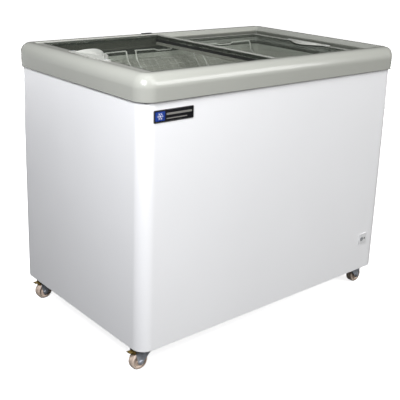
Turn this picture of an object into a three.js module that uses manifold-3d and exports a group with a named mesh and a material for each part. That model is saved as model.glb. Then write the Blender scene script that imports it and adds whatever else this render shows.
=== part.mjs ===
// A display chest freezer with two sliding glass lids, three wire baskets and four braked swivel casters.
// Millimetres, +Z up. The origin is on the floor under the middle of the cabinet; the front faces -Y.
import * as THREE from "three";
import { mergeVertices } from "three/addons/utils/BufferGeometryUtils.js";
import Module from "manifold-3d";

const wasm = await Module();
wasm.setup();

// ---------------------------------------------------------------- driving dimensions

const GAP = 0.3; // air between pieces that touch
const CABINET = { width: 1030, depth: 660, height: 705, corner: 40, sheet: 2 };
const CASTER = { height: 80, inset: 58, wheelRadius: 27, wheelWidth: 24, trail: 24 };
const RIM = { overhang: 8, height: 72, roundWidth: 32, roundHeight: 37, skirt: 12 };
// How far each step inside the rim lies from its outer face, and its height over the rim's lower edge.
const UPPER_TRACK = { inset: 45, level: 55.7 };
const LOWER_TRACK = { inset: 58, level: 36 };
const RIM_LEDGE = { inset: 70, underside: 32 };
const COLLAR = { shelfInset: 70, shelfLevel: 22.5, drop: 3, innerInset: 80 };
const LINER = { sheet: 2, floor: 150, stepX: 183, stepFloor: 330, corner: 27 };
const COMPARTMENT = { left: 235, ceiling: 268 };
const LID = {
  slack: 0.7,
  side: 13,
  innerEnd: 10,
  outerEnd: 28,
  corner: 8,
  glass: 4,
  glassBelowTop: 2,
  seat: 5,
};
const UPPER_LID = { top: 69, thickness: 13, innerX: 2, lip: 15 };
const LOWER_LID = { top: 47, thickness: 10.7, innerX: -22, lip: 5 };
const HANDLE = {
  plate: 3,
  length: 190,
  bulge: 30,
  lipLength: 146,
  lipThickness: 3.5,
  lipInset: 14,
  lipBow: 30, // how far the lip's middle lies inwards of its ends
};
const BASKET = { width: 250, pitch: 283, halfDepth: 256, depth: 165, straight: 34, wall: 4 };
const HOOK = { length: 92, thickness: 5, reach: 10 };
const COIL = { condenser: 2.4, evaporator: 3.5 };
const BADGE = { left: -482, width: 130, height: 33, top: 764, thickness: 2 };
const CONTROL = { x: 435, z: 195, width: 36, height: 37, thickness: 2 };
const DRAIN = { x: -300, y: -150, radius: 11.5 };

// Levels and half sizes that follow from them.
const BOTTOM = CASTER.height;
const TOP = BOTTOM + CABINET.height; // the cabinet's top and the rim's lower edge
const CROWN = TOP + RIM.height;
const SHELL = { x: CABINET.width / 2, y: CABINET.depth / 2 };
const OUTER = { x: SHELL.x + RIM.overhang, y: SHELL.y + RIM.overhang };
const SHELL_TOP = TOP + RIM.skirt - GAP;
const COIL_SPACE = 6; // between the painted shell and the foam
const EVAPORATOR_SPACE = 9; // between the liner and the foam
const BACK_FACE = SHELL.y - CABINET.sheet - GAP; // the back panel's outer face

/** Half sizes of a rectangle that lies this far inside the rim's outer face. */
function inside(inset) {
  return { x: OUTER.x - inset, y: OUTER.y - inset };
}

// ---------------------------------------------------------------- materials

function material(color, roughness, metalness = 0) {
  return new THREE.MeshStandardMaterial({ color, roughness, metalness });
}

const paint = material(0xf1f1f0, 0.35);
const rimPlastic = material(0xb4b6ae, 0.3);
const darkPlastic = material(0x2c2f2c, 0.55);
const linerMetal = material(0xb9bdb6, 0.4, 0.3);
const galvanised = material(0xa9adb0, 0.45, 0.8);
const foamMaterial = material(0xe6dcae, 0.9);
const tintedGlass = material(0x8b938c, 0.05);
const wireCoating = material(0xc9ccc8, 0.35);
const blackPaint = material(0x15161a, 0.5);
const copper = material(0xb87346, 0.35, 0.9);
const zinc = material(0x9da4ac, 0.35, 0.9);
const brassPlate = material(0xa98a3a, 0.35, 0.9);
const casterNylon = material(0xc9b39c, 0.5);
const blackRubber = material(0x18191a, 0.8);
const lampLens = material(0x70757a, 0.2);

// ---------------------------------------------------------------- geometry helpers

/** A closed geometry, or a solid already, as a manifold-3d solid. */
function solid(shape) {
  if (!shape.isBufferGeometry) return shape;
  const bare = new THREE.BufferGeometry();
  bare.setAttribute("position", shape.getAttribute("position"));
  bare.setIndex(shape.getIndex());
  const merged = mergeVertices(bare, 1e-4);
  return new wasm.Manifold(
    new wasm.Mesh({
      numProp: 3,
      vertProperties: new Float32Array(merged.getAttribute("position").array),
      triVerts: new Uint32Array(merged.getIndex().array),
    }),
  );
}

function join(first, ...others) {
  return others.reduce((whole, other) => whole.add(solid(other)), solid(first));
}

function cut(first, ...tools) {
  return tools.reduce((whole, tool) => whole.subtract(solid(tool)), solid(first));
}

function geometryOf(shape) {
  if (shape.isBufferGeometry) return shape;
  const { vertProperties, triVerts } = shape.getMesh();
  const geometry = new THREE.BufferGeometry();
  geometry.setAttribute("position", new THREE.BufferAttribute(vertProperties, 3));
  geometry.setIndex(new THREE.BufferAttribute(triVerts, 1));
  geometry.computeVertexNormals();
  return geometry;
}

/** A box between two limits on each axis. */
function block([x0, x1], [y0, y1], [z0, z1]) {
  const box = new THREE.BoxGeometry(x1 - x0, y1 - y0, z1 - z0);
  return box.translate((x0 + x1) / 2, (y0 + y1) / 2, (z0 + z1) / 2);
}

/** A rectangle with round corners between two limits on each axis. */
function plan([x0, x1], [y0, y1], radius) {
  const shape = new THREE.Shape();
  shape.absarc(x0 + radius, y0 + radius, radius, Math.PI, 1.5 * Math.PI);
  shape.absarc(x1 - radius, y0 + radius, radius, 1.5 * Math.PI, 2 * Math.PI);
  shape.absarc(x1 - radius, y1 - radius, radius, 0, Math.PI / 2);
  shape.absarc(x0 + radius, y1 - radius, radius, Math.PI / 2, Math.PI);
  return shape;
}

/** The same, centred on the origin. */
function centredPlan({ x, y }, radius) {
  return plan([-x, x], [-y, y], radius);
}

/** A flat shape given a height from z0 to z1; each arc gets twice curveSegments sides. */
function prism(shape, z0, z1, curveSegments = 3) {
  const options = { depth: z1 - z0, bevelEnabled: false, curveSegments };
  return new THREE.ExtrudeGeometry(shape, options).translate(0, 0, z0);
}

/** A shape drawn in X and Z given a thickness from y0 to y1. */
function upright(shape, y0, y1, curveSegments = 3) {
  return prism(shape, -y1, -y0, curveSegments).rotateX(Math.PI / 2);
}

/** A solid of revolution about Z through a list of [radius, z] points, from the axis back to the axis. */
function turned(profile, segments) {
  const points = profile.map(([radius, z]) => new THREE.Vector2(radius, z));
  return new THREE.LatheGeometry(points, segments).rotateX(Math.PI / 2);
}

function rod(radius, from, to, segments = 12) {
  return turned([[0, from], [radius, from], [radius, to], [0, to]], segments);
}

/** A rod that lies along Y. */
function rodAlongY(radius, [y0, y1], x, z, segments = 12) {
  return rod(radius, -y1, -y0, segments).rotateX(Math.PI / 2).translate(x, 0, z);
}

/** The route of a bent pipe: straight runs, with each corner turned on a true arc. */
class BentRoute extends THREE.Curve {
  constructor(corners, radius, stepsPerBend = 4) {
    super();
    this.points = [corners[0]];
    for (let i = 1; i < corners.length - 1; i++) {
      const before = new THREE.Vector3().subVectors(corners[i], corners[i - 1]).normalize();
      const after = new THREE.Vector3().subVectors(corners[i + 1], corners[i]).normalize();
      const turn = before.angleTo(after);
      const start = corners[i].clone().addScaledVector(before, -radius * Math.tan(turn / 2));
      const inward = after.clone().addScaledVector(before, -after.dot(before)).normalize();
      const centre = start.clone().addScaledVector(inward, radius);
      for (let k = 0; k <= stepsPerBend; k++) {
        const angle = (turn * k) / stepsPerBend;
        const point = centre.clone().addScaledVector(inward, -radius * Math.cos(angle));
        this.points.push(point.addScaledVector(before, radius * Math.sin(angle)));
      }
    }
    this.points.push(corners.at(-1));
  }
  get steps() {
    return this.points.length - 1;
  }
  getPoint(t) {
    const place = t * this.steps;
    const i = Math.min(Math.floor(place), this.steps - 1);
    return this.points[i].clone().lerp(this.points[i + 1], place - i);
  }
  getPointAt(u) {
    return this.getPoint(u);
  }
  getTangentAt(u) {
    const i = Math.round(u * this.steps);
    const before = this.points[Math.max(i - 1, 0)];
    const here = this.points[i];
    const after = this.points[Math.min(i + 1, this.steps)];
    const incoming = new THREE.Vector3().subVectors(here, before).normalize();
    const outgoing = new THREE.Vector3().subVectors(after, here).normalize();
    return incoming.add(outgoing).normalize();
  }
}

/** A round pipe or wire along a list of [x, y, z] corners. */
function pipe(corners, bendRadius, pipeRadius, stepsPerBend) {
  const vectors = corners.map((corner) => new THREE.Vector3(...corner));
  const route = new BentRoute(vectors, bendRadius, stepsPerBend);
  const section = new THREE.Shape();
  section.absarc(0, 0, pipeRadius, 0, 2 * Math.PI);
  return new THREE.ExtrudeGeometry(section, {
    extrudePath: route,
    steps: route.steps,
    curveSegments: 3, // a full circle gets twice this number of sides
  });
}

const freezer = new THREE.Group();

function piece(name, finish, shape, parent = freezer) {
  const mesh = new THREE.Mesh(geometryOf(shape), finish);
  mesh.name = name;
  parent.add(mesh);
}

// ---------------------------------------------------------------- cabinet

/** One painted sheet wraps the left side, the front and the right side, with short returns at the back. */
function outerShell() {
  const { sheet, corner } = CABINET;
  const outer = centredPlan(SHELL, corner);
  const inner = centredPlan({ x: SHELL.x - sheet, y: SHELL.y - sheet }, corner - sheet);
  const returnWidth = corner + 20;
  const backOpening = block(
    [-SHELL.x + returnWidth, SHELL.x - returnWidth],
    [0, SHELL.y + 1],
    [BOTTOM - 1, SHELL_TOP + 1],
  );
  return cut(
    prism(outer, BOTTOM, SHELL_TOP, 5),
    prism(inner, BOTTOM - 1, SHELL_TOP + 1, 5),
    backOpening,
    rodAlongY(5, [-SHELL.y - 1, -SHELL.y + 5], CONTROL.x - 7, CONTROL.z),
  );
}

const GRILLE = { x: [275, 445], z: [95, 265], border: 10 };
const GLAND = { x: 252, z: 130, radius: 8 };

function backPanel() {
  const window = block(
    [GRILLE.x[0] + GRILLE.border, GRILLE.x[1] - GRILLE.border],
    [0, SHELL.y],
    [GRILLE.z[0] + GRILLE.border, GRILLE.z[1] - GRILLE.border],
  );
  const inner = BACK_FACE - CABINET.sheet;
  const halfWidth = SHELL.x - CABINET.corner + 2;
  return cut(
    block([-halfWidth, halfWidth], [inner, BACK_FACE], [BOTTOM + 3 + GAP, SHELL_TOP - GAP]),
    window,
    rodAlongY(GLAND.radius + GAP, [inner - 1, BACK_FACE + 1], GLAND.x, GLAND.z),
  );
}

function rearGrille() {
  const [x0, x1] = GRILLE.x;
  const [z0, z1] = GRILLE.z;
  const slots = [];
  const pitch = 18;
  for (let z = z0 + 22; z < z1 - 20; z += pitch) {
    slots.push(block([x0 + 20, x1 - 20], [BACK_FACE - 5, BACK_FACE + 10], [z, z + pitch / 2]));
  }
  return cut(block([x0, x1], [BACK_FACE + GAP, BACK_FACE + GAP + 3], [z0, z1]), ...slots);
}

function basePan() {
  const edge = CABINET.sheet + GAP;
  const outline = centredPlan({ x: SHELL.x - edge, y: SHELL.y - edge }, CABINET.corner - edge);
  const drain = rod(DRAIN.radius + GAP, BOTTOM - 1, BOTTOM + 5, 16).translate(DRAIN.x, DRAIN.y, 0);
  return cut(prism(outline, BOTTOM, BOTTOM + 3, 4), drain);
}

const LINER_INSIDE = inside(COLLAR.innerInset);
const LINER_OUTSIDE = { x: LINER_INSIDE.x + LINER.sheet, y: LINER_INSIDE.y + LINER.sheet };

function foamInsulation() {
  const edge = CABINET.sheet + COIL_SPACE;
  const back = BACK_FACE - CABINET.sheet - GAP;
  const outline = plan(
    [-SHELL.x + edge, SHELL.x - edge],
    [-SHELL.y + edge, back],
    CABINET.corner - edge,
  );
  const seat = inside(LOWER_TRACK.inset);
  const tank = {
    x: LINER_OUTSIDE.x + EVAPORATOR_SPACE,
    y: LINER_OUTSIDE.y + EVAPORATOR_SPACE,
  };
  const linerBottom = LINER.floor - LINER.sheet - GAP;
  const stepBottom = LINER.stepFloor - LINER.sheet - GAP;
  const collarBottom = TOP - COLLAR.drop - LINER.sheet - 2 * GAP;
  const overStep = block(
    [LINER.stepX + LINER.sheet + GAP, 600],
    [-400, 400],
    [linerBottom - 1, stepBottom],
  );
  const tankHollow = cut(
    prism(centredPlan(tank, LINER.corner + 11), linerBottom, collarBottom + 1),
    overStep,
  );
  const collarHollow = prism(centredPlan(seat, LID.corner), collarBottom, SHELL_TOP + 1);
  const compartment = block(
    [COMPARTMENT.left, 600],
    [-400, 400],
    [BOTTOM, COMPARTMENT.ceiling],
  );
  const drain = rod(DRAIN.radius + GAP, BOTTOM, linerBottom + 5, 16);
  return cut(
    prism(outline, BOTTOM + 3 + GAP, SHELL_TOP),
    tankHollow,
    collarHollow,
    compartment,
    drain.translate(DRAIN.x, DRAIN.y, 0),
  );
}

function innerLiner() {
  const flangeTop = TOP - COLLAR.drop - GAP;
  const outerStep = block(
    [LINER.stepX + LINER.sheet, 600],
    [-400, 400],
    [0, LINER.stepFloor - LINER.sheet],
  );
  const innerStep = block([LINER.stepX, 600], [-400, 400], [0, LINER.stepFloor]);
  const outer = cut(
    prism(centredPlan(LINER_OUTSIDE, LINER.corner + 2), LINER.floor - LINER.sheet, flangeTop),
    outerStep,
  );
  const hollow = cut(
    prism(centredPlan(LINER_INSIDE, LINER.corner), LINER.floor, flangeTop + 1),
    innerStep,
  );
  const flangePlan = centredPlan(inside(LOWER_TRACK.inset + 2), 10);
  const flange = prism(flangePlan, flangeTop - LINER.sheet, flangeTop);
  const drain = rod(DRAIN.radius, LINER.floor - 5, LINER.floor + 5, 16);
  return cut(join(outer, flange), hollow, drain.translate(DRAIN.x, DRAIN.y, 0));
}

/** The dark collar between liner and rim, with the shelf that the baskets hang on. */
function breakerCollar() {
  const outline = centredPlan(inside(LOWER_TRACK.inset + GAP), 10);
  const low = TOP - COLLAR.drop;
  const high = TOP + RIM_LEDGE.underside - GAP;
  return cut(
    prism(outline, low, high),
    prism(centredPlan(LINER_INSIDE, LINER.corner), low - 1, high + 1),
    prism(centredPlan(inside(COLLAR.shelfInset), 20), TOP + COLLAR.shelfLevel, high + 1),
  );
}

const SLOT = { x: [-66, -22], y: 299.5, width: 8, depth: 6 };

function slotPlan(grow) {
  const half = SLOT.width / 2 + grow;
  return plan([SLOT.x[0] - grow, SLOT.x[1] + grow], [SLOT.y - half, SLOT.y + half], half - 0.01);
}

/** The moulded top frame: a round outer edge, and two stepped tracks that the lids slide in. */
function rimFrame() {
  const { roundWidth, roundHeight, skirt, height } = RIM;
  const corner = CABINET.corner + RIM.overhang;
  const body = new THREE.ExtrudeGeometry(centredPlan(inside(roundWidth), corner - roundWidth), {
    depth: height - roundHeight,
    bevelSize: roundWidth,
    bevelThickness: roundHeight,
    bevelSegments: 5,
    curveSegments: 4,
  }).translate(0, 0, TOP);
  const lowerHalf = block([-600, 600], [-400, 400], [0, TOP]);
  const shellSeat = centredPlan({ x: SHELL.x + GAP, y: SHELL.y + GAP }, CABINET.corner);
  return cut(
    body,
    lowerHalf,
    prism(centredPlan(inside(UPPER_TRACK.inset), LID.corner), TOP + UPPER_TRACK.level, CROWN + 1),
    prism(centredPlan(inside(LOWER_TRACK.inset), LID.corner), TOP + LOWER_TRACK.level, CROWN),
    prism(centredPlan(inside(RIM_LEDGE.inset), 20), TOP, CROWN),
    prism(centredPlan(inside(LOWER_TRACK.inset), LID.corner), TOP - 1, TOP + RIM_LEDGE.underside),
    prism(shellSeat, TOP - 1, TOP + skirt, 5),
    prism(slotPlan(GAP), CROWN - SLOT.depth - GAP, CROWN + 1),
  );
}

function frontBadge() {
  const { left, width, height, top, thickness } = BADGE;
  const face = -SHELL.y - GAP;
  const outline = plan([left, left + width], [top - height, top], 3);
  const plate = upright(outline, face - thickness, face);
  const frame = plan([left + 3, left + width - 3], [top - height + 3, top - 3], 2);
  return cut(plate, upright(frame, face - thickness - 1, face - thickness + 0.5));
}

// ---------------------------------------------------------------- thermostat

const DIAL = { x: CONTROL.x - 7, radius: 7, spindle: 3 };
const LAMP = { x: CONTROL.x + 9, radius: 3.5 };

function controlPlate() {
  const { x, z, width, height, thickness } = CONTROL;
  const face = -SHELL.y - GAP;
  const outline = plan([x - width / 2, x + width / 2], [z - height / 2, z + height / 2], 3);
  const through = [face - thickness - 1, face + 1];
  return cut(
    upright(outline, face - thickness, face),
    rodAlongY(DIAL.radius + 0.5, through, DIAL.x, z, 24),
    rodAlongY(LAMP.radius + GAP, through, LAMP.x, z, 16),
  );
}

function thermostatDial() {
  const face = -SHELL.y - GAP;
  const head = rodAlongY(DIAL.radius, [face - 4, face], DIAL.x, CONTROL.z, 24);
  const spindle = rodAlongY(DIAL.spindle, [face - 1, -SHELL.y + 16], DIAL.x, CONTROL.z);
  const coinSlot = block(
    [DIAL.x - 5, DIAL.x + 5],
    [face - 5, face - 2.5],
    [CONTROL.z - 1, CONTROL.z + 1],
  );
  return cut(join(head, spindle), coinSlot);
}

function thermostatBody() {
  const front = -SHELL.y + CABINET.sheet + GAP;
  return cut(
    block([DIAL.x - 20, DIAL.x + 28], [front, front + 36], [CONTROL.z - 24, CONTROL.z + 24]),
    rodAlongY(DIAL.spindle + GAP, [front - 1, front + 18], DIAL.x, CONTROL.z),
  );
}

function powerLamp() {
  const face = -SHELL.y - GAP;
  return rodAlongY(LAMP.radius, [face - CONTROL.thickness - 0.6, face], LAMP.x, CONTROL.z, 16);
}

// ---------------------------------------------------------------- refrigeration

/** Runs back and forth round the left side, the front and the right side, inside the painted shell. */
function condenserCoil() {
  const edge = CABINET.sheet + COIL_SPACE / 2;
  const x = SHELL.x - edge;
  const front = -SHELL.y + edge;
  const back = SHELL.y - 40;
  const runs = 5;
  const pitch = 75;
  const corners = [];
  for (let run = 0; run < runs; run++) {
    const z = TOP - 90 - run * pitch;
    const side = run % 2 ? -1 : 1;
    corners.push([side * x, back, z], [side * x, front, z], [-side * x, front, z], [-side * x, back, z]);
  }
  return pipe(corners, CABINET.corner - edge - 0.6, COIL.condenser, 5);
}

/** Winds round the liner's walls, in the space before the foam. */
function evaporatorCoil() {
  const x = LINER_OUTSIDE.x + EVAPORATOR_SPACE / 2;
  const y = LINER_OUTSIDE.y + EVAPORATOR_SPACE / 2;
  const turns = 5;
  const pitch = 70;
  const start = LINER.stepFloor + 40;
  const quarter = [[-x, -y], [x, -y], [x, y], [-x, y]];
  const corners = [[-x, 0, start - pitch / 8]];
  for (let i = 0; i < turns * quarter.length; i++) {
    corners.push([...quarter[i % 4], start + (pitch * i) / 4]);
  }
  corners.push([-x, 0, start + pitch * turns - pitch / 8]);
  return pipe(corners, LINER.corner + LINER.sheet + EVAPORATOR_SPACE / 2, COIL.evaporator, 4);
}

const POT = { x: 380, y: 60, radius: 70, bottom: 100, height: 155 };

/** A hermetic compressor: a welded steel pot on a foot plate. */
function compressor() {
  const profile = [[0, 0]];
  const dome = 34;
  const steps = 5;
  for (let i = 0; i <= steps; i++) {
    const angle = (Math.PI / 2) * (i / steps);
    profile.push([POT.radius - 20 + 20 * Math.sin(angle), 20 - 20 * Math.cos(angle)]);
  }
  for (let i = 0; i < steps; i++) {
    const angle = (Math.PI / 2) * (i / steps);
    profile.push([POT.radius * Math.cos(angle), POT.height - dome + dome * Math.sin(angle)]);
  }
  profile.push([0, POT.height]);
  const seam = rod(POT.radius + 4, 78, 84, 24);
  const foot = prism(centredPlan({ x: 92, y: 70 }, 12), -3, 2, 3);
  return join(turned(profile, 24), seam, foot).translate([POT.x, POT.y, POT.bottom]);
}

function compressorTray() {
  const low = BOTTOM + 3 + GAP;
  const high = POT.bottom - 3 - GAP;
  const x = [POT.x - 105, POT.x + 105];
  const rail = (y) => block(x, [y - 12, y + 12], [low, high]);
  return join(block(x, [POT.y - 70, POT.y + 70], [low, low + 2]), rail(POT.y - 55), rail(POT.y + 55));
}

function startRelay() {
  const back = POT.y - POT.radius - 6;
  return block([POT.x - 24, POT.x + 24], [back - 34, back], [POT.bottom + 40, POT.bottom + 96]);
}

function filterDrier() {
  const profile = [[0, 0], [3, 0], [3, 12], [10, 22], [10, 88], [3, 98], [3, 110], [0, 110]];
  return turned(profile, 12).rotateX(Math.PI / 2).translate(275, -60, 235);
}

/** From the compressor to the bottom of the condenser behind the front sheet. */
function dischargePipe() {
  const start = POT.y - POT.radius - 1;
  const level = POT.bottom + 24;
  const x = POT.x + 40;
  return pipe([[x, start + 4, level], [x, -200, level], [470, -200, level], [470, -320, level]], 14, 3);
}

/** From the evaporator, through the wall of the machine compartment, to the compressor. */
function suctionPipe() {
  const end = POT.x - POT.radius - 8;
  const level = POT.bottom + 50;
  const wall = COMPARTMENT.left + GAP;
  return pipe([[wall, 150, 240], [270, 150, 240], [270, 150, level], [270, POT.y, level], [end, POT.y, level]], 12, 4);
}

function cordGland() {
  const flange = rodAlongY(GLAND.radius + 5, [BACK_FACE + GAP, BACK_FACE + 5], GLAND.x, GLAND.z, 20);
  const neck = rodAlongY(GLAND.radius, [BACK_FACE - 12, BACK_FACE + 1], GLAND.x, GLAND.z, 20);
  const bore = rodAlongY(4, [BACK_FACE - 13, BACK_FACE + 6], GLAND.x, GLAND.z);
  return cut(join(flange, neck), bore);
}

function drainTube() {
  const top = LINER.floor - LINER.sheet - GAP;
  const outlet = BOTTOM - 12;
  return cut(
    rod(DRAIN.radius - GAP, outlet, top, 16),
    rod(DRAIN.radius - 2.5, outlet - 1, top + 1, 16),
  ).translate([DRAIN.x, DRAIN.y, 0]);
}

function drainPlug() {
  const radius = DRAIN.radius - 3;
  return join(
    rod(radius, LINER.floor - 12, LINER.floor + 1, 16),
    rod(DRAIN.radius + 5, LINER.floor + GAP, LINER.floor + 4, 20),
    block([-12, 12], [-1.5, 1.5], [LINER.floor + 3, LINER.floor + 12]),
  ).translate([DRAIN.x, DRAIN.y, 0]);
}

// ---------------------------------------------------------------- sliding lids

/** One lid: side is -1 for the left lid and +1 for the right one, and outer is the end at the cabinet's side. */
function addLid(prefix, side, track, { top, thickness, innerX, lip }) {
  const room = inside(track.inset + LID.slack);
  const outerX = side * room.x;
  const span = (a, b) => [Math.min(a, b), Math.max(a, b)];
  const z1 = TOP + top;
  const z0 = z1 - thickness;
  const seatZ = z1 - LID.glassBelowTop - LID.glass - GAP;
  const window = {
    x: span(outerX - side * LID.outerEnd, innerX + side * LID.innerEnd),
    y: room.y - LID.side,
  };
  const grow = ([low, high], by) => [low - by, high + by];
  const seat = {
    x: grow(window.x, LID.seat),
    y: window.y + LID.seat,
  };
  piece(
    prefix + "_frame",
    rimPlastic,
    cut(
      prism(plan(span(outerX, innerX), [-room.y, room.y], LID.corner), z0, z1, 4),
      block(window.x, [-window.y, window.y], [z0 - 1, z1 + 1]),
      block(seat.x, [-seat.y, seat.y], [seatZ, z1 + 1]),
    ),
  );
  const glassY = seat.y - GAP;
  piece(
    prefix + "_glass",
    tintedGlass,
    block(grow(seat.x, -GAP), [-glassY, glassY], [seatZ + GAP, seatZ + GAP + LID.glass]),
  );

  // The grip: an eye-shaped plate over the end of the lid, with an upright finger lip that bows inwards.
  const inward = -side;
  const edge = outerX + inward * 4;
  const half = HANDLE.length / 2;
  const eye = new THREE.Shape();
  eye.moveTo(edge, -half);
  eye.lineTo(edge + inward * 20, -half);
  eye.bezierCurveTo(
    edge + inward * 34, -half * 0.55,
    edge + inward * (34 + HANDLE.bulge), -half * 0.45,
    edge + inward * (34 + HANDLE.bulge), 0,
  );
  eye.bezierCurveTo(
    edge + inward * (34 + HANDLE.bulge), half * 0.45,
    edge + inward * 34, half * 0.55,
    edge + inward * 20, half,
  );
  eye.lineTo(edge, half);
  const plateBottom = z1 + GAP;
  const lipX = outerX + inward * HANDLE.lipInset;
  const lipHalf = HANDLE.lipLength / 2;
  const arch = new THREE.Shape();
  arch.moveTo(-lipHalf, 0);
  arch.quadraticCurveTo(0, 2 * lip, lipHalf, 0);
  const lipBottom = plateBottom + HANDLE.plate - 0.5;
  const arched = prism(arch, -HANDLE.lipBow - 5, HANDLE.lipBow + 5, 8)
    .rotateX(Math.PI / 2)
    .rotateZ(Math.PI / 2)
    .translate(lipX, 0, lipBottom);
  const bowRadius = (lipHalf ** 2 + HANDLE.lipBow ** 2) / (2 * HANDLE.lipBow);
  const bowX = lipX + inward * (HANDLE.lipBow - bowRadius);
  const bow = (radius, low, high) => rod(radius, low, high, 48).translate(bowX, 0, 0);
  const lipTop = lipBottom + lip;
  const lipWall = cut(
    bow(bowRadius + HANDLE.lipThickness / 2, lipBottom - 1, lipTop + 1),
    bow(bowRadius - HANDLE.lipThickness / 2, lipBottom - 2, lipTop + 2),
  ).intersect(solid(arched));
  const screws = [-1, 1].map((end) => ({ x: edge + inward * 10, y: end * (half - 8) }));
  const bores = screws.map(({ x, y }) => rod(3, z1 - 1, z1 + 10).translate(x, y, 0));
  const plate = solid(prism(eye, plateBottom, plateBottom + HANDLE.plate, 5));
  piece(prefix + "_handle", rimPlastic, cut(join(plate, lipWall), ...bores));
  screws.forEach(({ x, y }, i) => {
    const screw = rod(2.6, plateBottom, plateBottom + HANDLE.plate + 0.6, 10).translate(x, y, 0);
    piece(`${prefix}_handle_screw_${i ? "back" : "front"}`, zinc, screw);
  });
}

/** The wiper strip on the lower lid's inner end closes the height between the two lids. */
function meetingSeal() {
  const room = inside(LOWER_TRACK.inset + LID.slack);
  const low = TOP + LOWER_LID.top + GAP;
  const high = TOP + UPPER_LID.top - UPPER_LID.thickness - 0.8;
  return block([LOWER_LID.innerX, LOWER_LID.innerX + 10], [-room.y + 4, room.y - 4], [low, high]);
}

// ---------------------------------------------------------------- baskets

/** The outer shape of a wire basket: an open trough whose front and back lean in, with a hook at each corner. */
function basket(middle) {
  const { width, halfDepth, depth, straight, wall } = BASKET;
  const top = TOP + COLLAR.shelfLevel + HOOK.thickness - 4;
  const lean = depth - straight;
  const section = (inset) => {
    const half = halfDepth - inset;
    const bottom = top - depth + inset;
    const high = inset ? top + 1 : top;
    const shape = new THREE.Shape();
    shape.moveTo(-half, high);
    shape.lineTo(-half, top - straight);
    shape.lineTo(-half + lean - inset * 0.6, bottom);
    shape.lineTo(half - lean + inset * 0.6, bottom);
    shape.lineTo(half, top - straight);
    shape.lineTo(half, high);
    return shape;
  };
  const trough = (inset) => {
    const halfWidth = width / 2 - inset;
    return prism(section(inset), -halfWidth, halfWidth).rotateX(Math.PI / 2).rotateZ(Math.PI / 2);
  };
  const shelf = TOP + COLLAR.shelfLevel + GAP;
  const hooks = [];
  for (const sideX of [-1, 1]) {
    for (const sideY of [-1, 1]) {
      const x = [sideX * (width / 2 - HOOK.length), (sideX * width) / 2].sort((a, b) => a - b);
      const y = [sideY * (halfDepth - wall), sideY * (halfDepth + HOOK.reach)].sort((a, b) => a - b);
      hooks.push(block(x, y, [shelf, shelf + HOOK.thickness]));
    }
  }
  return join(cut(trough(0), trough(wall)), ...hooks).translate([middle, 0, 0]);
}

// ---------------------------------------------------------------- casters

const FORK = { topZ: 69.7, discThickness: 5, legGap: 14.5, legThickness: 2.5, axleRadius: 4 };
const BRAKE = { pivotX: 35, pivotZ: 59, pin: 2, plateTip: 60, halfWidth: 10 };

function casterPlate() {
  const top = BOTTOM - GAP;
  return join(
    prism(centredPlan({ x: 32, y: 30 }, 5), top - 3, top, 3),
    rod(18, FORK.topZ + GAP, top - 2, 20),
  );
}

/** The swivelling fork: a round head on a bridge, and a leg each side of the wheel. Local +X is the way it trails. */
function casterFork() {
  const { topZ, discThickness, legGap, legThickness, axleRadius } = FORK;
  const bridgeTop = topZ - discThickness + 1;
  const bridgeBottom = bridgeTop - 4;
  const head = rod(20, topZ - discThickness, topZ, 20);
  const reach = legGap + legThickness;
  const bridge = block([-18, BRAKE.pivotX + 5], [-reach, reach], [bridgeBottom, bridgeTop]);
  const wheelZ = CASTER.wheelRadius;
  const leg = new THREE.Shape();
  leg.moveTo(-18, bridgeTop);
  leg.lineTo(-18, bridgeBottom - 3);
  leg.lineTo(CASTER.trail - 10, wheelZ);
  leg.absarc(CASTER.trail, wheelZ, 10, Math.PI, 2 * Math.PI);
  leg.lineTo(BRAKE.pivotX + 5, bridgeBottom - 8);
  leg.lineTo(BRAKE.pivotX + 5, bridgeTop);
  const brakeOpening = block([22, 60], [-12, 12], [bridgeBottom - 1, bridgeTop + 1]);
  const legs = [-1, 1].map((side) => {
    const y = [side * legGap, side * reach].sort((a, b) => a - b);
    return upright(leg, y[0], y[1], 4);
  });
  const bores = [
    rodAlongY(axleRadius + GAP, [-30, 30], CASTER.trail, wheelZ, 16),
    rodAlongY(BRAKE.pin + GAP, [-30, 30], BRAKE.pivotX, BRAKE.pivotZ, 10),
  ];
  return cut(join(bridge, head, ...legs), brakeOpening, ...bores);
}

function casterWheel() {
  const half = CASTER.wheelWidth / 2;
  const radius = CASTER.wheelRadius;
  const bore = FORK.axleRadius + GAP + 0.2;
  const hub = 9;
  const round = 3;
  const profile = [
    [bore, -half - 1], [hub, -half - 1], [hub, -half], [radius - round, -half], [radius, -half + round],
    [radius, half - round], [radius - round, half], [hub, half], [hub, half + 1], [bore, half + 1],
    [bore, -half - 1],
  ];
  return turned(profile, 24).rotateX(Math.PI / 2).translate(CASTER.trail, 0, radius);
}

/** The axle bolt, with a round head on one side and a hexagon nut on the other. */
function casterAxle() {
  const outer = FORK.legGap + FORK.legThickness + GAP;
  const z = CASTER.wheelRadius;
  return join(
    rodAlongY(FORK.axleRadius, [-outer - 2, outer + 2], CASTER.trail, z, 16),
    rodAlongY(7, [-outer - 4, -outer], CASTER.trail, z, 6),
    rodAlongY(7, [outer, outer + 3], CASTER.trail, z, 16),
  );
}

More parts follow.
